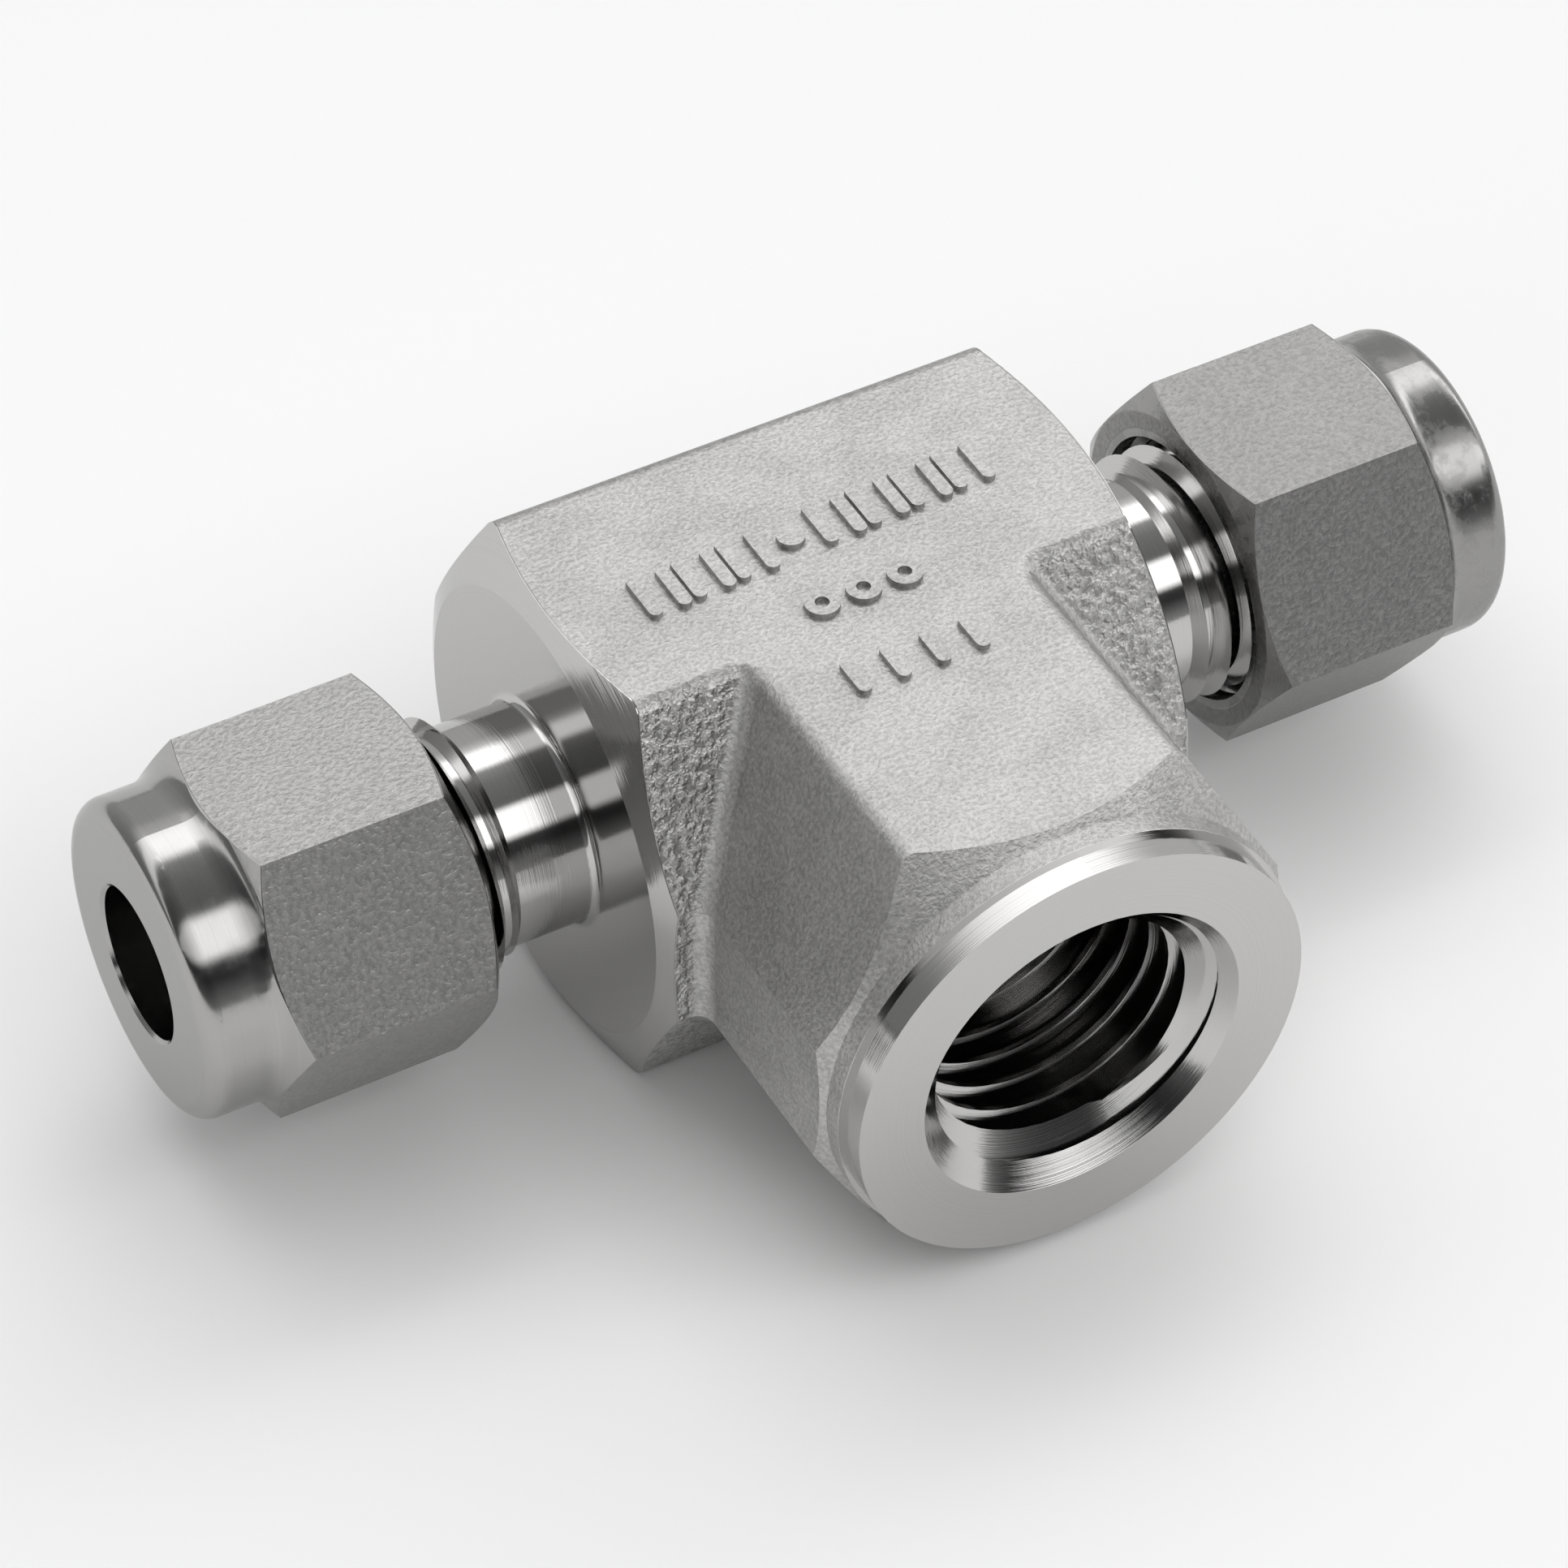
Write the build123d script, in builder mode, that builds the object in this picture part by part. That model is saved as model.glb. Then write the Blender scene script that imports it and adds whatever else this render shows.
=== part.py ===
"""Branch tee for 1/4 inch instrument tube: two nut-and-ferrule tube ends, one tapered pipe port.

Frame: X runs along the two tube ends, the pipe port opens towards -Y and Z is up.
The origin is on the bottom flat of the forging, straight below the crossing of the bores.
"""
from build123d import *
from math import radians, tan
import os

INCH = 25.4

# Forging
AXIS_HEIGHT = 10.7          # bore axes above the bottom flat, half the forging's thickness
SIDE_HALF = 10.6            # trimmed flash band, out from either axis
RUN_FACE = 12.4             # turned end faces of the run, from the centre
PORT_FACE = 22.3            # face of the pipe port, from the centre
CORNER_BLEND = 0.9          # inside corners between run and branch
FORGED_EDGE = 0.9           # rounding of the long forged edges
FACE_RADIUS = 9.8           # flat part of the turned end face
FACE_SLOPE = 24             # degrees, the cone that takes off the forging's corners
CLEAR_RADIUS = 12.6         # outside everything on the forging

# Pipe port boss, lengths from the port face
BOSS_FORGED_RADIUS = 10.4
BOSS_TURNED_RADIUS = 10.17
BOSS_TURNED_LENGTH = 1.25
BOSS_ROUND_LENGTH = 2.2
BOSS_CONE_LENGTH = 2.08
BRANCH_FLOW_RADIUS = 3.55

# Tube ends
SOCKET_RADIUS = 3.24
SOCKET_SHOULDER = 15.4      # where the tube bottoms
SEAT_START = 21.9
SEAT_ANGLE = 20             # degrees, half angle of the ferrule seat
BODY_END = 24.6
BODY_END_CHAMFER = 0.6
FLOW_RADIUS = 2.4
NECK_RADIUS = 4.8
NECK_FILLET = 0.35
THREAD_START = 15.9
THREAD_LEAD_IN = 0.6

# Nut thread on the body, 7/16-20
PITCH = INCH / 20
FLANK = radians(30)
MALE_CREST = 5.53
MALE_ROOT = 4.85
MALE_LAND = 0.19            # width of the male crest
MALE_HELIX_START = 15.0
MALE_LEAD_ANGLE = 11        # degrees round the axis at which the groove starts
THREAD_TURN = {"left": -161, "right": -79}  # degrees each threaded end is turned before joining
CUT_PAST = 0.06             # how far a thread cutter stands past the surface it cuts

# Nut
NUT_ACROSS_FLATS = 9 / 16 * INCH
NUT_INNER = 18.1
NUT_OUTER = 30.7
NUT_FACE_RADIUS = 7.15      # flat inner face of the nut
NUT_CORNER_END = 26.75      # where the outer cone meets the hexagon's corners
NUT_CONE = 30               # degrees, the cone on both ends of the hexagon
NUT_COLLAR_RADIUS = 6.86
NUT_COLLAR_BLEND = 1.2
NUT_RIM = 0.9
NUT_BORE = 3.3
NUT_BORE_EDGE = 0.15
NUT_COUNTERBORE = 5.95
NUT_COUNTERBORE_DEPTH = 0.9
NUT_THREAD_BORE = 5.6       # plain bore that clears the crests of the body's thread
NUT_THREAD_END = 25.1
NUT_CHAMBER = 4.62
NUT_CHAMBER_END = 27.45
NUT_TURN = {"left": 1.3, "right": 2.5}    # degrees each hexagon sits off level
NUT_HEX_CLEAR = 9

# Ferrules
FERRULE_BORE = 3.23
FRONT_NOSE = (22.4, 3.37)
FRONT_SHOULDER = (24.75, 4.35)
FRONT_REAR = (25.55, 3.95)
BACK_NOSE = (25.0, 3.33)
BACK_SHOULDER = (25.6, 3.93)
BACK_FLANGE = (26.1, 4.45)
BACK_REAR = (27.5, 4.45)
BACK_END = (28.5, 3.45)

# Pipe thread, 1/4-18 NPT, depths from the port face
PIPE_PITCH = INCH / 18
PIPE_TAPER = 1.7899         # degrees, half angle
PIPE_MOUTH_MINOR = 5.68
PIPE_THREAD_DEPTH = 1.05
PIPE_LAND = 0.1             # width left between two turns at the minor diameter
PIPE_CUT_PAST = 0.15
PIPE_THREAD_TURNS = 7
PIPE_LEAD_ANGLE = 266
PIPE_REAM_DEPTH = 10.3
PIPE_DRILL_DEPTH = 16
PIPE_POINT = 2.0            # length of the drill point
PIPE_MOUTH_RADIUS = 7.23
PIPE_MOUTH_DEPTH = 1.55

# Raised marks on the top flat
MARK_HEIGHT = 0.25
MARK_SINK = 0.3
MARK_STROKE = 0.6

CENTRE = Vector(0, 0, AXIS_HEIGHT)
RUN_AXIS = Axis(CENTRE, (1, 0, 0))
BRANCH_AXIS = Axis(CENTRE, (0, -1, 0))
RUN_PROFILE = Plane(origin=CENTRE, x_dir=(1, 0, 0), z_dir=(0, -1, 0))
BRANCH_PROFILE = Plane(origin=CENTRE, x_dir=(0, -1, 0), z_dir=(-1, 0, 0))
RUN_SECTION = Plane(origin=CENTRE, x_dir=(0, 1, 0), z_dir=(1, 0, 0))
BRANCH_SECTION = Plane(origin=CENTRE, x_dir=(1, 0, 0), z_dir=(0, -1, 0))
MARK_PLANE = Plane.XY.offset(2 * AXIS_HEIGHT - MARK_SINK)


def forged_section():
    """Hexagon with level top and bottom flats, its two side corners trimmed off."""
    RegularPolygon(AXIS_HEIGHT, 6, major_radius=False)
    Rectangle(2 * SIDE_HALF, 2 * AXIS_HEIGHT, mode=Mode.INTERSECT)


def on_mitre(edge):
    """True for an inside corner between the run and the branch."""
    middle = edge.center()
    return middle.Y < -1 and abs(abs(middle.X) + middle.Y) < 0.01


def turned(plane, axis, points, mode=Mode.ADD):
    """Revolve a closed outline of (distance along the axis, radius) points."""
    with BuildSketch(plane) as outline:
        with BuildLine():
            Polyline(*points, close=True)
        make_face()
    revolve(outline.sketch, axis=axis, mode=mode)


def mirrored(points, side):
    """The same outline on the other tube end, for side -1."""
    return [(side * along, radius) for along, radius in points]


def thread_cutter(start, direction, turns, pitch, inner, outer, lead_angle, taper=0):
    """Helical groove as a solid: inner and outer are its (radius, width) pairs.

    The lead angle turns the beginning of the groove round the axis.
    """
    direction = Vector(direction)
    middle = (inner[0] + outer[0]) / 2
    half = (outer[0] - inner[0]) / 2
    origin = CENTRE + direction * start
    with BuildPart() as cutter:
        with BuildLine():
            path = Helix(pitch, turns * pitch, middle, origin, direction, taper)
        outward = (path @ 0 - origin).normalized()
        with BuildSketch(Plane(origin=path @ 0, x_dir=direction, z_dir=direction.cross(outward))):
            with BuildLine():
                Polyline((-inner[1] / 2, -half), (inner[1] / 2, -half),
                         (outer[1] / 2, half), (-outer[1] / 2, half), close=True)
            make_face()
        sweep(path=path, is_frenet=True)
    return cutter.part.rotate(Axis(origin, direction), lead_angle)


# Thread cutters.
male_root_width = PITCH - MALE_LAND - 2 * (MALE_CREST - MALE_ROOT) * tan(FLANK)
male_out = MALE_CREST + CUT_PAST
male_turns = (BODY_END + PITCH / 2 - MALE_HELIX_START) / PITCH
male_cutter = thread_cutter(
    MALE_HELIX_START, (1, 0, 0), male_turns, PITCH,
    (MALE_ROOT, male_root_width),
    (male_out, male_root_width + 2 * (male_out - MALE_ROOT) * tan(FLANK)), MALE_LEAD_ANGLE)

pipe_length = PIPE_THREAD_TURNS * PIPE_PITCH
pipe_inner_minor = PIPE_MOUTH_MINOR - pipe_length * tan(radians(PIPE_TAPER))
pipe_in = pipe_inner_minor - PIPE_CUT_PAST
pipe_out = pipe_inner_minor + PIPE_THREAD_DEPTH
pipe_minor_width = PIPE_PITCH - PIPE_LAND
pipe_cutter = thread_cutter(
    PORT_FACE - pipe_length, (0, -1, 0), PIPE_THREAD_TURNS + 1, PIPE_PITCH,
    (pipe_in, pipe_minor_width),
    (pipe_out, pipe_minor_width - 2 * PIPE_THREAD_DEPTH * tan(FLANK)), PIPE_LEAD_ANGLE, PIPE_TAPER)

# Tee body: a forging of two crossing bars, turned at its three ends.
body_end_minor = SOCKET_RADIUS + (BODY_END - SEAT_START) * tan(radians(SEAT_ANGLE))
face_slope_length = (CLEAR_RADIUS - FACE_RADIUS) * tan(radians(FACE_SLOPE))
run_face_trim = [
    (RUN_FACE, FACE_RADIUS),
    (RUN_FACE, CLEAR_RADIUS),
    (RUN_FACE - face_slope_length, CLEAR_RADIUS),
]
tube_end = [
    (RUN_FACE - 1, 0),
    (RUN_FACE - 1, NECK_RADIUS),
    (THREAD_START, NECK_RADIUS),
    (THREAD_START + THREAD_LEAD_IN, MALE_CREST),
    (BODY_END - BODY_END_CHAMFER, MALE_CREST),
    (BODY_END, MALE_CREST - BODY_END_CHAMFER),
    (BODY_END, 0),
]
run_bore = [
    (0, 0),
    (0, FLOW_RADIUS),
    (SOCKET_SHOULDER, FLOW_RADIUS),
    (SOCKET_SHOULDER, SOCKET_RADIUS),
    (SEAT_START, SOCKET_RADIUS),
    (BODY_END, body_end_minor),
    (BODY_END, 0),
]
boss_trim = [
    (PORT_FACE, CLEAR_RADIUS),
    (PORT_FACE, BOSS_TURNED_RADIUS),
    (PORT_FACE - BOSS_TURNED_LENGTH, BOSS_TURNED_RADIUS),
    (PORT_FACE - BOSS_TURNED_LENGTH, BOSS_FORGED_RADIUS),
    (PORT_FACE - BOSS_ROUND_LENGTH, BOSS_FORGED_RADIUS),
    (PORT_FACE - BOSS_ROUND_LENGTH - BOSS_CONE_LENGTH, CLEAR_RADIUS),
]
reamed_end = PIPE_MOUTH_MINOR - PIPE_REAM_DEPTH * tan(radians(PIPE_TAPER))
reamed_mouth = PIPE_MOUTH_MINOR - PIPE_MOUTH_DEPTH * tan(radians(PIPE_TAPER))
port_bore = [
    (PORT_FACE, 0),
    (PORT_FACE, PIPE_MOUTH_RADIUS),
    (PORT_FACE - PIPE_MOUTH_DEPTH, reamed_mouth),
    (PORT_FACE - PIPE_REAM_DEPTH, reamed_end),
    (PORT_FACE - PIPE_DRILL_DEPTH, reamed_end),
    (PORT_FACE - PIPE_DRILL_DEPTH - PIPE_POINT / 2, BRANCH_FLOW_RADIUS),
    (0, BRANCH_FLOW_RADIUS),
    (0, 0),
]

with BuildPart() as threaded_end:
    turned(RUN_PROFILE, RUN_AXIS, tube_end)
    add(male_cutter, mode=Mode.SUBTRACT)

with BuildPart() as tee_body:
    with BuildSketch(RUN_SECTION):
        forged_section()
    extrude(amount=RUN_FACE, both=True)
    with BuildSketch(BRANCH_SECTION):
        forged_section()
    extrude(amount=PORT_FACE)
    inside_corners = tee_body.edges().filter_by(on_mitre)
    fillet(inside_corners.filter_by(Axis.Z), CORNER_BLEND)
    slanted_corners = tee_body.edges().filter_by(on_mitre).filter_by(lambda edge: edge.length > 2)
    fillet(slanted_corners, CORNER_BLEND)
    flats = tee_body.faces().filter_by(Plane.XY)
    long_edges = [edge for face in flats for edge in face.edges()
                  if abs(edge.center().X) < RUN_FACE - 0.01 and edge.center().Y > 0.01 - PORT_FACE]
    fillet(long_edges, FORGED_EDGE)
    for side in (1, -1):
        turned(RUN_PROFILE, RUN_AXIS, mirrored(run_face_trim, side), Mode.SUBTRACT)
    add(threaded_end.part.rotate(RUN_AXIS, THREAD_TURN["right"]))
    add(threaded_end.part.rotate(RUN_AXIS, THREAD_TURN["left"]).rotate(Axis.Z, 180))
    neck_roots = tee_body.edges().filter_by(GeomType.CIRCLE).filter_by(
        lambda edge: abs(abs(edge.center().X) - RUN_FACE) < 0.01 and edge.radius < NECK_RADIUS + 0.01)
    fillet(neck_roots, NECK_FILLET)
    turned(BRANCH_PROFILE, BRANCH_AXIS, boss_trim, Mode.SUBTRACT)
    for side in (1, -1):
        turned(RUN_PROFILE, RUN_AXIS, mirrored(run_bore, side), Mode.SUBTRACT)
    turned(BRANCH_PROFILE, BRANCH_AXIS, port_bore, Mode.SUBTRACT)
    add(pipe_cutter, mode=Mode.SUBTRACT)
    with BuildSketch(MARK_PLANE):
        for column in range(8):
            with Locations((-7.5 + 2.07 * column, -1.0 + 0.11 * column)):
                if column == 3:
                    Circle(MARK_STROKE)
                else:
                    with GridLocations(2.2 * MARK_STROKE, 0, 2, 1):
                        SlotOverall(2.5, MARK_STROKE, rotation=90)
        with Locations((-0.2, -4.7)):
            with GridLocations(1.9, 0, 3, 1):
                Circle(0.75)
                Circle(0.3, mode=Mode.SUBTRACT)
        with Locations((-0.3, -9.0)):
            with GridLocations(1.8, 0, 4, 1):
                SlotOverall(2, MARK_STROKE, rotation=90)
    extrude(amount=MARK_SINK + MARK_HEIGHT)

# Nut, modelled on the +X end and turned half way round the Z axis for the other end.
nut_cone_slope = tan(radians(NUT_CONE))
nut_corner_radius = NUT_ACROSS_FLATS / 2 / (3 ** 0.5 / 2)
collar_start = NUT_CORNER_END + (nut_corner_radius - NUT_COLLAR_RADIUS) * nut_cone_slope
nut_envelope = [
    (NUT_INNER, 0),
    (NUT_INNER, NUT_FACE_RADIUS),
    (NUT_INNER + (NUT_HEX_CLEAR - NUT_FACE_RADIUS) * nut_cone_slope, NUT_HEX_CLEAR),
    (collar_start - (NUT_HEX_CLEAR - NUT_COLLAR_RADIUS) * nut_cone_slope, NUT_HEX_CLEAR),
    (collar_start, NUT_COLLAR_RADIUS),
    (NUT_OUTER, NUT_COLLAR_RADIUS),
    (NUT_OUTER, 0),
]
nut_floor = NUT_INNER + NUT_COUNTERBORE_DEPTH
nut_cavity = [
    (NUT_INNER - 1, 0),
    (NUT_INNER - 1, NUT_COUNTERBORE),
    (nut_floor, NUT_COUNTERBORE),
    (nut_floor + NUT_COUNTERBORE - NUT_THREAD_BORE, NUT_THREAD_BORE),
    (NUT_THREAD_END, NUT_THREAD_BORE),
    (NUT_THREAD_END + NUT_THREAD_BORE - NUT_CHAMBER, NUT_CHAMBER),
    (NUT_CHAMBER_END, NUT_CHAMBER),
    (NUT_CHAMBER_END + NUT_CHAMBER - NUT_BORE, NUT_BORE),
    (NUT_OUTER - NUT_BORE_EDGE, NUT_BORE),
    (NUT_OUTER, NUT_BORE + NUT_BORE_EDGE),
    (NUT_OUTER, 0),
]


def tube_nut(turn):
    """Hexagon nut with a turned collar, its hexagon rotated by turn degrees."""
    with BuildPart() as nut:
        with BuildSketch(RUN_SECTION.offset(NUT_INNER)):
            RegularPolygon(NUT_ACROSS_FLATS / 2, 6, major_radius=False, rotation=turn)
        extrude(amount=NUT_OUTER - NUT_INNER)
        with BuildSketch(RUN_PROFILE) as envelope:
            with BuildLine():
                Polyline(*nut_envelope, close=True)
            make_face()
            rim = envelope.vertices().group_by(Axis.X)[-1].sort_by(Axis.Y)[-1]
            fillet(rim, NUT_RIM)
            root = envelope.vertices().filter_by(lambda point: abs(point.X - collar_start) < 0.01)
            fillet(root, NUT_COLLAR_BLEND)
        revolve(axis=RUN_AXIS, mode=Mode.INTERSECT)
        turned(RUN_PROFILE, RUN_AXIS, nut_cavity, Mode.SUBTRACT)
    return nut.part


right_nut = tube_nut(NUT_TURN["right"])
left_nut = tube_nut(NUT_TURN["left"]).rotate(Axis.Z, 180)

# Ferrules, loose rings that the nut presses down onto the tube.
front_outline = [
    (FRONT_NOSE[0], FERRULE_BORE),
    FRONT_NOSE,
    (FRONT_SHOULDER[0], FRONT_NOSE[1]
     + (FRONT_SHOULDER[0] - FRONT_NOSE[0]) * tan(radians(SEAT_ANGLE)) - CUT_PAST),
    FRONT_SHOULDER,
    (FRONT_REAR[0], FRONT_SHOULDER[1]),
    FRONT_REAR,
    (FRONT_REAR[0] - FRONT_REAR[1] + FERRULE_BORE, FERRULE_BORE),
]
back_outline = [
    (BACK_NOSE[0], FERRULE_BORE),
    BACK_NOSE,
    BACK_SHOULDER,
    BACK_FLANGE,
    BACK_REAR,
    BACK_END,
    (BACK_END[0], FERRULE_BORE),
]

with BuildPart() as front_ferrule:
    turned(RUN_PROFILE, RUN_AXIS, front_outline)

with BuildPart() as back_ferrule:
    turned(RUN_PROFILE, RUN_AXIS, back_outline)

pieces = {
    "tee_body": tee_body.part,
    "right_nut": right_nut,
    "left_nut": left_nut,
    "right_front_ferrule": front_ferrule.part,
    "left_front_ferrule": front_ferrule.part.rotate(Axis.Z, 180),
    "right_back_ferrule": back_ferrule.part,
    "left_back_ferrule": back_ferrule.part.rotate(Axis.Z, 180),
}

os.makedirs("parts", exist_ok=True)
for name, piece in pieces.items():
    piece.label = name
    export_step(piece, f"parts/{name}.step")
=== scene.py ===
import bpy
from math import cos, pi, radians, sin
from mathutils import Matrix, Vector


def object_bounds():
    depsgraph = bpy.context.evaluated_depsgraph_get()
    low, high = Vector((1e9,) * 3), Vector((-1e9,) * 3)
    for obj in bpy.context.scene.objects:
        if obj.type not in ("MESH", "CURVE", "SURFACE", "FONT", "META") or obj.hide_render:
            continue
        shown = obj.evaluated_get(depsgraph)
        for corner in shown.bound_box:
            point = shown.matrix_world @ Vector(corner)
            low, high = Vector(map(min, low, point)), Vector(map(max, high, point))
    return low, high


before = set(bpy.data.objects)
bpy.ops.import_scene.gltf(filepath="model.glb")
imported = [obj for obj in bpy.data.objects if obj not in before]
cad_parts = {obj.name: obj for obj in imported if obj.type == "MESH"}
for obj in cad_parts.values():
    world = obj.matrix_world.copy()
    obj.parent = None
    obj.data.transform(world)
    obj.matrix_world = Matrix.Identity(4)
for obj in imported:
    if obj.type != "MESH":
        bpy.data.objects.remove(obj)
cad_lo, cad_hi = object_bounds()

# --- Tee body -------------------------------------------------------------------
# The real body is one forging of 316 stainless steel, blasted all over after the
# flash is trimmed off, so its flats carry a fine pebbled grain. Its two end faces,
# necks and threads and the mouth of the pipe port are then turned bright in a lathe.
AXIS_Z = 10.7               # mm, height of the bore axes
RUN_FACE = 12.4             # mm, end faces, out from the centre
FACE_RADIUS = 9.8           # mm, flat part of an end face
FACE_SLOPE = 0.4452         # rise of the cone at the rim of an end face
CORNER_REACH = 12.4         # mm, how far a corner of an end face is from its axis
RUN_BORE_WALL = 4.0         # mm, between the bores of the tube ends and their necks
PORT_TURNED_FROM = 21.0     # mm, start of the turned band round the port
PORT_INSIDE = 7.6           # mm, just outside the port's countersink
PORT_DRILLED_FROM = 3.0     # mm, short of the drill point
FLAT_EDGE = 5.9             # mm, where the run's slanted wall leaves the top flat
FLASH_BAND = 10.9           # mm, where that wall ends

BLAST_GRAIN = 5.5           # grains to the millimetre
PIT_GRAIN = 2.4
CLOUDING = 0.35
BLASTED_LEVEL = 0.38        # how much light the darkest grain throws back
GRAIN_CONTRAST = 0.18
PIT_CONTRAST = 0.18
CLOUD_CONTRAST = 0.05
TURNED_LEVEL = 0.50
LINE_CONTRAST = 0.10
BLASTED_ROUGHNESS = 0.36
GRAIN_ROUGHNESS = 0.12
TURNED_ROUGHNESS = 0.07
LINE_ROUGHNESS = 0.06
DIMPLE_DEPTH = 0.4          # share of the grain's height
OPEN_DEPTH = 0.6            # height of the grain on the open flats
PIT_DEPTH = 1.5             # height of the pits in the notches
RING_DEPTH = 0.10           # height of the lathe's rings
BODY_RELIEF = 0.00006       # m, what a height of 1 stands for
GLANCING_GLOSS = 0.8        # share of its glancing reflection that bare steel keeps
LATHE_RINGS = 9.0           # rings to the millimetre
STEEL_WARMTH = 0.02         # how much less blue than red the steel is


def steel(name):
    """A new bare metal material: (material, its nodes, its links, its shader)."""
    metal = bpy.data.materials.new(name)
    metal.use_nodes = True
    shader = metal.node_tree.nodes["Principled BSDF"]
    shader.inputs["Metallic"].default_value = 1.0
    shader.inputs["Specular Tint"].default_value = [GLANCING_GLOSS] * 3 + [1]
    return metal, metal.node_tree.nodes, metal.node_tree.links, shader


def put(links, socket, value):
    """Set a socket to a number, or join it to another socket."""
    if isinstance(value, (int, float)):
        socket.default_value = value
    else:
        links.new(value, socket)


def calc(nodes, links, operation, first, second=0.0, third=0.0):
    """One Math node's result; each input is a number or a socket."""
    node = nodes.new("ShaderNodeMath")
    node.operation = operation
    for socket, value in zip(node.inputs, (first, second, third)):
        put(links, socket, value)
    return node.outputs[0]


def place(nodes, links):
    """The point on the piece in mm, with Z from the bore axes: (vector, x, y, z)."""
    here = nodes.new("ShaderNodeTexCoord")
    millimetres = nodes.new("ShaderNodeVectorMath")
    millimetres.operation = "MULTIPLY_ADD"
    millimetres.inputs[1].default_value = (1000, 1000, 1000)
    millimetres.inputs[2].default_value = (0, 0, -AXIS_Z)
    links.new(here.outputs["Object"], millimetres.inputs[0])
    split = nodes.new("ShaderNodeSeparateXYZ")
    links.new(millimetres.outputs[0], split.inputs[0])
    return millimetres.outputs[0], split.outputs[0], split.outputs[1], split.outputs[2]


def radius(nodes, links, across, up):
    """Distance from an axis that the two sockets are measured from."""
    across_squared = calc(nodes, links, "MULTIPLY", across, across)
    return calc(nodes, links, "SQRT", calc(nodes, links, "MULTIPLY_ADD", up, up, across_squared))


def ramp(nodes, links, value, low, high, bottom=0.0, top=1.0):
    """Bottom up to top, smoothly, as value goes from low to high."""
    node = nodes.new("ShaderNodeMapRange")
    node.interpolation_type = "SMOOTHSTEP"
    for socket, number in zip(node.inputs[1:5], (low, high, bottom, top)):
        socket.default_value = number
    links.new(value, node.inputs[0])
    return node.outputs[0]


def noise(nodes, links, vector, scale, detail=2.0, roughness=0.5):
    """Noise of about scale spots to the millimetre."""
    node = nodes.new("ShaderNodeTexNoise")
    node.inputs["Scale"].default_value = scale
    node.inputs["Detail"].default_value = detail
    node.inputs["Roughness"].default_value = roughness
    links.new(vector, node.inputs["Vector"])
    return node.outputs["Fac"]


def lathe_lines(nodes, links, along, out):
    """Uneven rings that a lathe tool leaves, on faces and on cylinders alike."""
    ring = nodes.new("ShaderNodeCombineXYZ")
    links.new(calc(nodes, links, "ADD", along, out), ring.inputs[0])
    return noise(nodes, links, ring.outputs[0], LATHE_RINGS, detail=3.0, roughness=0.7)


def blend(nodes, links, share, first, second):
    """First where share is 0, second where it is 1; numbers or sockets."""
    node = nodes.new("ShaderNodeMix")
    put(links, node.inputs["Factor"], share)
    put(links, node.inputs["A"], first)
    put(links, node.inputs["B"], second)
    return node.outputs["Result"]


def grey(nodes, links, level, warmth):
    """A near-neutral steel colour from a brightness socket."""
    node = nodes.new("ShaderNodeCombineColor")
    links.new(level, node.inputs[0])
    links.new(calc(nodes, links, "MULTIPLY", level, 1 - warmth / 2), node.inputs[1])
    links.new(calc(nodes, links, "MULTIPLY", level, 1 - warmth), node.inputs[2])
    return node.outputs[0]


def bumped(nodes, links, shader, height, distance):
    """Raise the surface by up to distance, in metres, where height is 1."""
    node = nodes.new("ShaderNodeBump")
    node.inputs["Distance"].default_value = distance
    links.new(height, node.inputs["Height"])
    links.new(node.outputs[0], shader.inputs["Normal"])


def dress(node_name, metal):
    """Give a carried-over solid its metal."""
    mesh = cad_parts[node_name].data
    mesh.materials.clear()
    mesh.materials.append(metal)


body_steel, nodes, links, shader = steel("blasted_and_turned_forging")
point, x, y, z = place(nodes, links)
out_x = calc(nodes, links, "ABSOLUTE", x)
forward = calc(nodes, links, "MULTIPLY", y, -1.0)
from_run = radius(nodes, links, y, z)
from_branch = radius(nodes, links, x, z)

# The lathe's work: the end faces with their coned rims, the port and all the bores.
rim = calc(nodes, links, "MAXIMUM", calc(nodes, links, "SUBTRACT", from_run, FACE_RADIUS), 0.0)
end_depth = calc(nodes, links, "MULTIPLY_ADD", rim, FACE_SLOPE, out_x)
turned_end = calc(nodes, links, "MULTIPLY",
                  ramp(nodes, links, end_depth, RUN_FACE - 0.08, RUN_FACE - 0.04),
                  ramp(nodes, links, from_run, CORNER_REACH, CORNER_REACH + 0.2, 1.0, 0.0))
turned_boss = ramp(nodes, links, forward, PORT_TURNED_FROM, PORT_TURNED_FROM + 0.04)
inside_port = calc(nodes, links, "MULTIPLY",
                   ramp(nodes, links, from_branch, PORT_INSIDE, PORT_INSIDE + 0.05, 1.0, 0.0),
                   ramp(nodes, links, forward, PORT_DRILLED_FROM, PORT_DRILLED_FROM + 0.5))
inside_run = ramp(nodes, links, from_run, RUN_BORE_WALL, RUN_BORE_WALL + 0.1, 1.0, 0.0)
turned = calc(nodes, links, "MAXIMUM", turned_end, turned_boss)
turned = calc(nodes, links, "MAXIMUM", turned, inside_port)
turned = calc(nodes, links, "MAXIMUM", turned, inside_run)
at_port = calc(nodes, links, "MAXIMUM", turned_boss, inside_port)
lines = blend(nodes, links, at_port,
              lathe_lines(nodes, links, out_x, from_run),
              lathe_lines(nodes, links, forward, from_branch))

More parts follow.
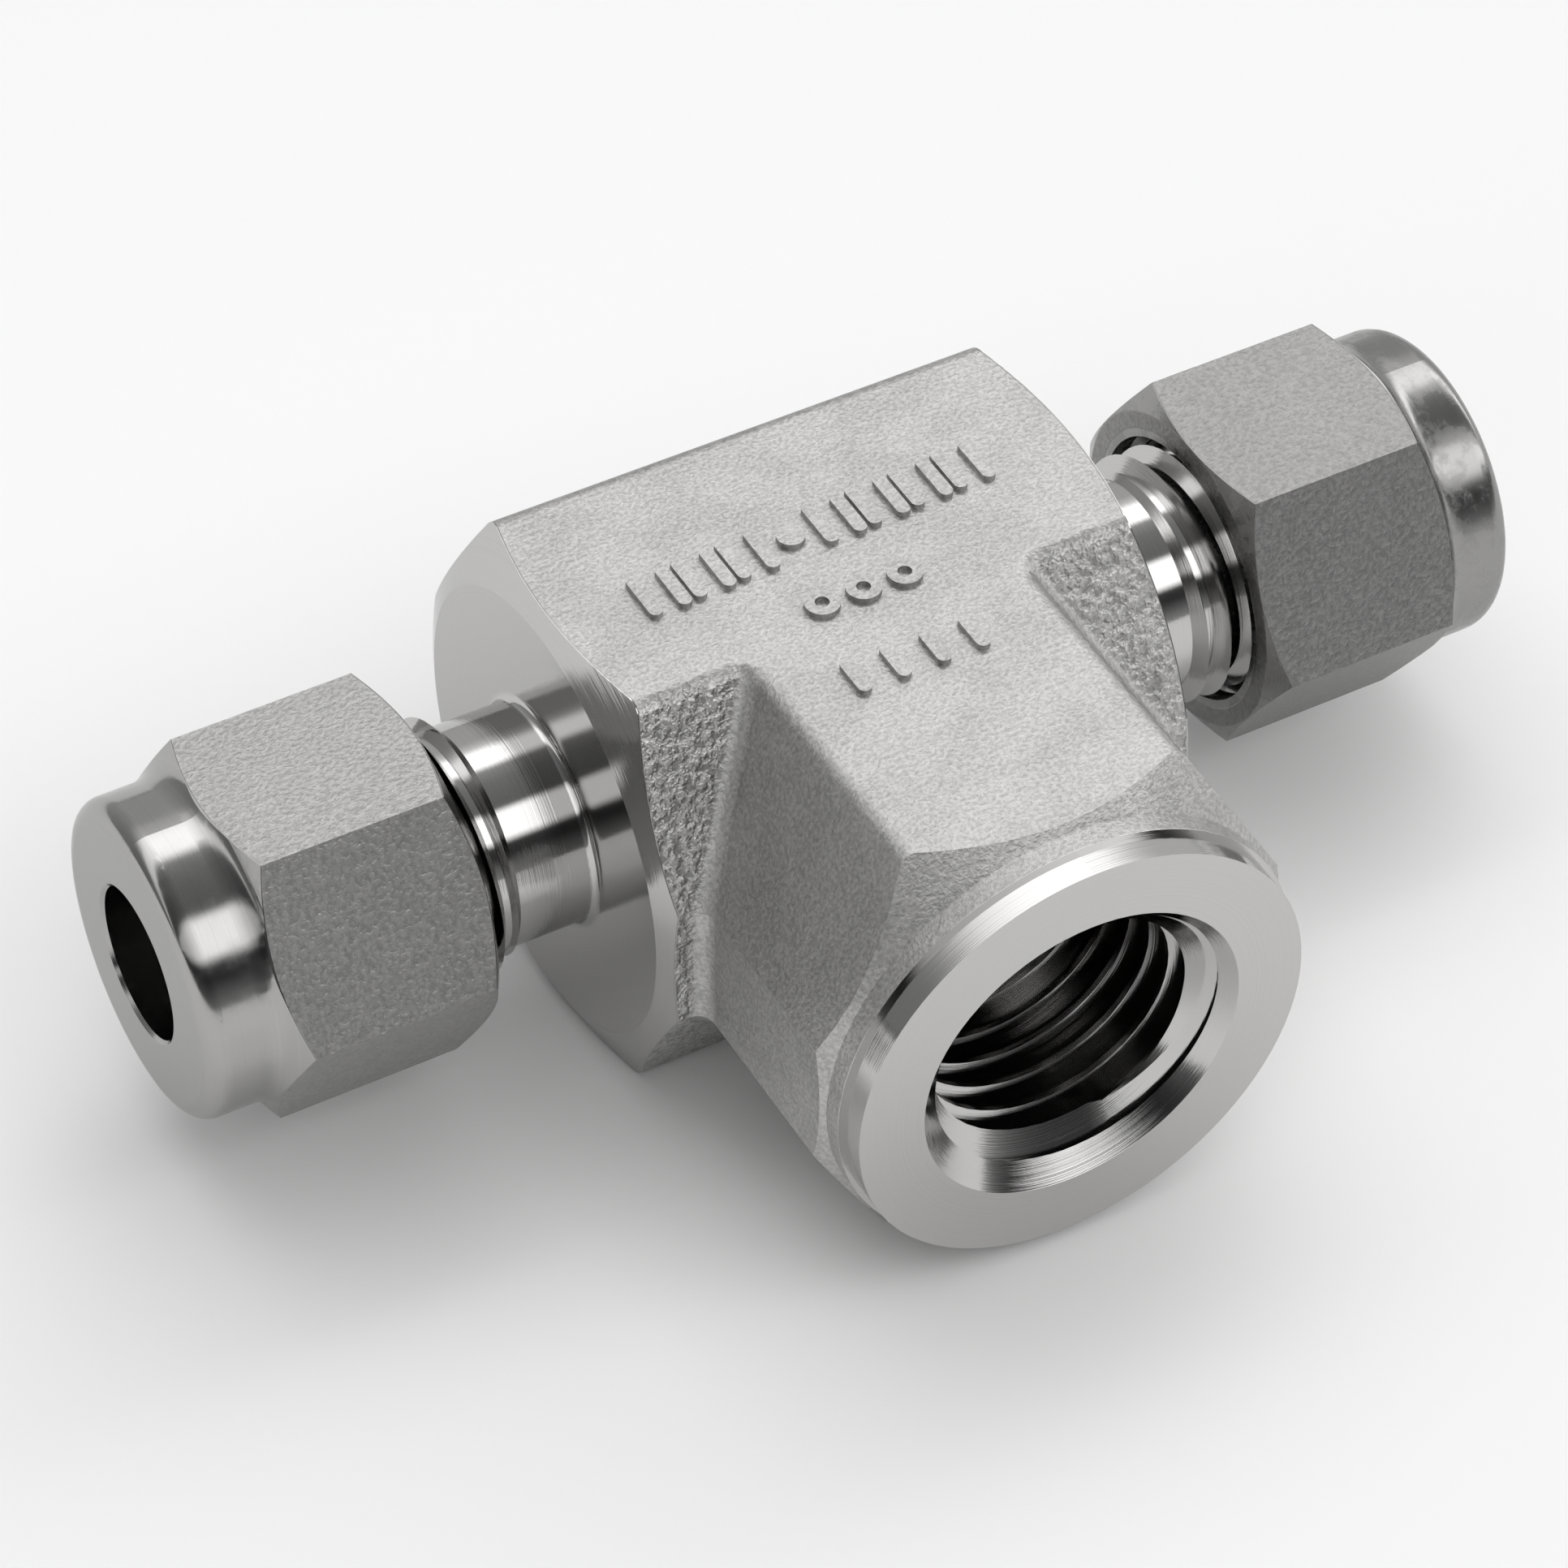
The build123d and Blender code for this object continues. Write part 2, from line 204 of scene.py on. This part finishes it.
# The blasting reached the two notches beside the branch least, and they stay pitted.
beside_branch = ramp(nodes, links, calc(nodes, links, "SUBTRACT", out_x, forward), 0.3, 0.9)
in_notch = calc(nodes, links, "MULTIPLY", beside_branch,
                calc(nodes, links, "MULTIPLY",
                     ramp(nodes, links, forward, FLAT_EDGE, FLAT_EDGE + 0.6),
                     ramp(nodes, links, forward, FLASH_BAND, FLASH_BAND + 0.5, 1.0, 0.0)))
grain = noise(nodes, links, point, BLAST_GRAIN, detail=3.0, roughness=0.6)
dimples = noise(nodes, links, point, PIT_GRAIN)
clouds = noise(nodes, links, point, CLOUDING)
pits = ramp(nodes, links, dimples, 0.35, 0.65)

grain_shade = ramp(nodes, links, grain, 0.3, 0.7)
blasted_level = calc(nodes, links, "MULTIPLY_ADD", grain_shade, GRAIN_CONTRAST, BLASTED_LEVEL)
cloud_shade = ramp(nodes, links, clouds, 0.35, 0.65)
blasted_level = calc(nodes, links, "MULTIPLY_ADD", cloud_shade, CLOUD_CONTRAST, blasted_level)
pit_shade = calc(nodes, links, "MULTIPLY", in_notch, calc(nodes, links, "SUBTRACT", pits, 0.3))
blasted_level = calc(nodes, links, "MULTIPLY_ADD", pit_shade, PIT_CONTRAST, blasted_level)
turned_level = calc(nodes, links, "MULTIPLY_ADD", lines, LINE_CONTRAST, TURNED_LEVEL)
level = blend(nodes, links, turned, blasted_level, turned_level)
links.new(grey(nodes, links, level, STEEL_WARMTH), shader.inputs["Base Color"])

blasted_rough = calc(nodes, links, "MULTIPLY_ADD", grain, GRAIN_ROUGHNESS, BLASTED_ROUGHNESS)
turned_rough = calc(nodes, links, "MULTIPLY_ADD", lines, LINE_ROUGHNESS, TURNED_ROUGHNESS)
links.new(blend(nodes, links, turned, blasted_rough, turned_rough), shader.inputs["Roughness"])

pebbles = calc(nodes, links, "MULTIPLY_ADD", dimples, DIMPLE_DEPTH, grain)
pebbles = calc(nodes, links, "MULTIPLY_ADD", calc(nodes, links, "MULTIPLY", in_notch, pits), PIT_DEPTH,
               calc(nodes, links, "MULTIPLY", pebbles, OPEN_DEPTH))
rings = calc(nodes, links, "MULTIPLY", lines, RING_DEPTH)
bumped(nodes, links, shader, blend(nodes, links, turned, pebbles, rings), BODY_RELIEF)
dress("tee_body", body_steel)

# --- Tube nuts ------------------------------------------------------------------
# Each nut is machined from 316 hexagon bar: the six flats keep a fine satin blast,
# while the collar, the chamfers and the bore are turned and polished. It screws on
# to the body by hand and is tightened with a spanner, which presses the ferrules in.
CORNER_RADIUS = 8.249       # mm, corners of the hexagon
CHAMFER_SLOPE = 0.5774      # rise of the cones on both ends of the hexagon
OUTER_CHAMFER = 26.75       # mm, where the outer cone meets the corners
INNER_CHAMFER = 18.1        # mm, the nut's inner face
INNER_FACE_RADIUS = 7.15
NUT_BORE_WALL = 6.3         # mm, between the nut's bores and its flats
SATIN_GRAIN = 4.5           # grains to the millimetre
SATIN_CLOUDING = 0.5
SCUFFING_GRAIN = 0.9
SATIN_LEVEL = 0.33
SATIN_CONTRAST = 0.12
POLISHED_LEVEL = 0.37
SATIN_ROUGHNESS = 0.34
SATIN_GRAIN_ROUGHNESS = 0.10
NUT_RING_DEPTH = 0.12
NUT_RELIEF = 0.00004        # m, what a height of 1 stands for


def hexagon_bar(name, shade, dullness, scuffing):
    """A nut's steel: satin flats of the given shade, and turned surfaces of some dullness."""
    metal, nodes, links, shader = steel(name)
    point, x, y, z = place(nodes, links)
    out_x = calc(nodes, links, "ABSOLUTE", x)
    from_run = radius(nodes, links, y, z)
    outer_cone = calc(nodes, links, "MULTIPLY_ADD", from_run, CHAMFER_SLOPE, out_x)
    outer_start = OUTER_CHAMFER + CORNER_RADIUS * CHAMFER_SLOPE
    outer_turned = ramp(nodes, links, outer_cone, outer_start - 0.05, outer_start - 0.02)
    inner_cone = calc(nodes, links, "MULTIPLY_ADD", from_run, -CHAMFER_SLOPE, out_x)
    inner_end = INNER_CHAMFER - INNER_FACE_RADIUS * CHAMFER_SLOPE
    inner_turned = ramp(nodes, links, inner_cone, inner_end + 0.02, inner_end + 0.05, 1.0, 0.0)
    bore_turned = ramp(nodes, links, from_run, NUT_BORE_WALL, NUT_BORE_WALL + 0.05, 1.0, 0.0)
    turned = calc(nodes, links, "MAXIMUM", outer_turned, inner_turned)
    turned = calc(nodes, links, "MAXIMUM", turned, bore_turned)

    grain = noise(nodes, links, point, SATIN_GRAIN, detail=3.0, roughness=0.6)
    clouds = noise(nodes, links, point, SATIN_CLOUDING)
    lines = lathe_lines(nodes, links, out_x, from_run)
    grain_shade = ramp(nodes, links, grain, 0.3, 0.7)
    satin_level = calc(nodes, links, "MULTIPLY_ADD", grain_shade, SATIN_CONTRAST, SATIN_LEVEL)
    satin_level = calc(nodes, links, "MULTIPLY_ADD", clouds, CLOUD_CONTRAST, satin_level)
    turned_level = calc(nodes, links, "MULTIPLY_ADD", lines, LINE_CONTRAST, POLISHED_LEVEL)
    level = blend(nodes, links, turned, satin_level, turned_level)
    level = calc(nodes, links, "MULTIPLY", level, shade)
    links.new(grey(nodes, links, level, STEEL_WARMTH), shader.inputs["Base Color"])

    satin_rough = calc(nodes, links, "MULTIPLY_ADD", grain, SATIN_GRAIN_ROUGHNESS, SATIN_ROUGHNESS)
    worn = noise(nodes, links, point, SCUFFING_GRAIN, detail=4.0, roughness=0.7)
    scuffs = ramp(nodes, links, worn, 0.45, 0.65, 0.0, scuffing)
    turned_rough = calc(nodes, links, "MULTIPLY_ADD", lines, LINE_ROUGHNESS, dullness)
    turned_rough = calc(nodes, links, "ADD", turned_rough, scuffs)
    links.new(blend(nodes, links, turned, satin_rough, turned_rough), shader.inputs["Roughness"])
    rings = calc(nodes, links, "MULTIPLY", lines, NUT_RING_DEPTH)
    bumped(nodes, links, shader, blend(nodes, links, turned, grain, rings), NUT_RELIEF)
    return metal


dress("right_nut", hexagon_bar("dull_satin_bar", shade=0.76, dullness=0.17, scuffing=0.15))
dress("left_nut", hexagon_bar("satin_bar", shade=1.0, dullness=0.10, scuffing=0.05))

# --- Ferrules -------------------------------------------------------------------
# Two loose rings sit inside each nut: a front ferrule that seals on the body's seat
# and the tube, and a harder back ferrule that bites the tube. Both are turned from
# 316 bar and left bright, with faint tool rings.
FERRULE_LEVEL = 0.62
FERRULE_WARMTH = 0.03
FERRULE_ROUGHNESS = 0.14
FERRULE_LINE_ROUGHNESS = 0.12
FERRULE_RELIEF = 0.000006   # m

ferrule_steel, nodes, links, shader = steel("bright_turned_ring")
point, x, y, z = place(nodes, links)
lines = lathe_lines(nodes, links, calc(nodes, links, "ABSOLUTE", x), radius(nodes, links, y, z))
level = calc(nodes, links, "MULTIPLY_ADD", lines, LINE_CONTRAST, FERRULE_LEVEL)
links.new(grey(nodes, links, level, FERRULE_WARMTH), shader.inputs["Base Color"])
ring_rough = calc(nodes, links, "MULTIPLY_ADD", lines, FERRULE_LINE_ROUGHNESS, FERRULE_ROUGHNESS)
links.new(ring_rough, shader.inputs["Roughness"])
bumped(nodes, links, shader, lines, FERRULE_RELIEF)
for side in ("right", "left"):
    for ring in ("front", "back"):
        dress(f"{side}_{ring}_ferrule", ferrule_steel)

# --- Table ----------------------------------------------------------------------
# A plain white paper sheet on a level table. The fitting lies on it loose, with the
# bottom flat of its forging down.
TABLE_HALF = 0.6
TABLE_GAP = 0.0001
WHITE = 0.88
PAPER_ROUGHNESS = 0.9

table_mesh = bpy.data.meshes.new("table")
table_mesh.from_pydata(
    [(-TABLE_HALF, -TABLE_HALF, 0), (TABLE_HALF, -TABLE_HALF, 0),
     (TABLE_HALF, TABLE_HALF, 0), (-TABLE_HALF, TABLE_HALF, 0)], [], [(0, 1, 2, 3)])
table = bpy.data.objects.new("table", table_mesh)
table.location.z = cad_lo[2] - TABLE_GAP
bpy.context.collection.objects.link(table)
paper = bpy.data.materials.new("white_sheet")
paper.use_nodes = True
paper_shader = paper.node_tree.nodes["Principled BSDF"]
paper_shader.inputs["Base Color"].default_value = (WHITE, WHITE, WHITE, 1)
paper_shader.inputs["Roughness"].default_value = PAPER_ROUGHNESS
table_mesh.materials.append(paper)

# --- Light ----------------------------------------------------------------------
# A pale tent, dark low in front, with two long strip lamps that run from left to
# right, one in front and one behind: they make the bright bands along the turning.
# A wide lamp overhead whitens the table and leaves the metal's reflections alone.
TENT = (                    # degrees up from the front horizon, brightness
    (0, 0.30), (14, 0.10), (20, 0.04), (30, 0.04), (37, 1.95), (60, 1.95), (66, 0.18),
    (92, 0.26), (106, 0.40), (113, 2.40), (127, 2.40), (136, 0.90), (146, 0.55), (180, 0.55))
BRIGHTEST = 2.4
EVEN = 0.83                 # brightness half way from left to right
BRIGHTER_TO_RIGHT = 0.6
PAPER_BACKDROP = 0.85       # what stands beyond the table
LAMP_SIDE = 0.5
LAMP_HEIGHT = 0.5
LAMP_POWER = 0.85

world = bpy.data.worlds.new("tent")
bpy.context.scene.world = world
world.use_nodes = True
nodes, links = world.node_tree.nodes, world.node_tree.links
way = nodes.new("ShaderNodeTexCoord")
parts = nodes.new("ShaderNodeSeparateXYZ")
links.new(way.outputs["Generated"], parts.inputs[0])
forward = calc(nodes, links, "MULTIPLY", parts.outputs[1], -1.0)
raised = calc(nodes, links, "ARCTAN2", parts.outputs[2], forward)
tent = nodes.new("ShaderNodeValToRGB")
links.new(calc(nodes, links, "DIVIDE", raised, pi), tent.inputs[0])
stops = tent.color_ramp.elements
while len(stops) < len(TENT):
    stops.new(1.0)
for stop, (degrees_up, brightness) in zip(stops, TENT):
    stop.position = degrees_up / 180
    stop.color = [brightness / BRIGHTEST] * 3 + [1]
links.new(tent.outputs[0], nodes["Background"].inputs["Color"])
rightward = calc(nodes, links, "MULTIPLY_ADD", parts.outputs[0],
                 BRIGHTEST * EVEN * BRIGHTER_TO_RIGHT, BRIGHTEST * EVEN)
links.new(rightward, nodes["Background"].inputs["Strength"])
backdrop = nodes.new("ShaderNodeBackground")
backdrop.inputs["Strength"].default_value = PAPER_BACKDROP
seen = nodes.new("ShaderNodeLightPath")
either = nodes.new("ShaderNodeMixShader")
links.new(seen.outputs["Is Camera Ray"], either.inputs[0])
links.new(nodes["Background"].outputs[0], either.inputs[1])
links.new(backdrop.outputs[0], either.inputs[2])
links.new(either.outputs[0], nodes["World Output"].inputs["Surface"])

table_lamp = bpy.data.lights.new("table_lamp", "AREA")
table_lamp.size = LAMP_SIDE
table_lamp.energy = LAMP_POWER
table_lamp_holder = bpy.data.objects.new("table_lamp", table_lamp)
table_lamp_holder.location = (0, 0, LAMP_HEIGHT)
table_lamp_holder.visible_glossy = False
bpy.context.collection.objects.link(table_lamp_holder)
bpy.context.scene.view_settings.view_transform = "Standard"

# --- Camera ---------------------------------------------------------------------
# A long lens on a stand looks half way down on the fitting from its front left, with
# the port turned towards the viewer.
AZIMUTH, ELEVATION, ROLL = radians(-29.7887), radians(44.7401), radians(0.8965)
MIDDLE = Vector((0, 0, 0.0107))     # m, where the bores cross
DISTANCE = 0.26545                  # m, from there to the camera
OFF_RIGHT, OFF_UP = 0.000945, 0.003102      # m, MIDDLE from the centre of the frame
FOCAL_LENGTH = 146.37               # mm

back = Vector((sin(AZIMUTH) * cos(ELEVATION), -cos(AZIMUTH) * cos(ELEVATION), sin(ELEVATION)))
level_right = Vector((cos(AZIMUTH), sin(AZIMUTH), 0))
level_up = back.cross(level_right)
right = cos(ROLL) * level_right + sin(ROLL) * level_up
up = cos(ROLL) * level_up - sin(ROLL) * level_right
lens = bpy.data.cameras.new("camera")
lens.lens = FOCAL_LENGTH
lens.clip_start, lens.clip_end = 0.01, 10
camera = bpy.data.objects.new("camera", lens)
camera.location = MIDDLE - OFF_RIGHT * right - OFF_UP * up + DISTANCE * back
camera.rotation_euler = Matrix((right, up, back)).transposed().to_euler()
bpy.context.collection.objects.link(camera)
bpy.context.scene.camera = camera
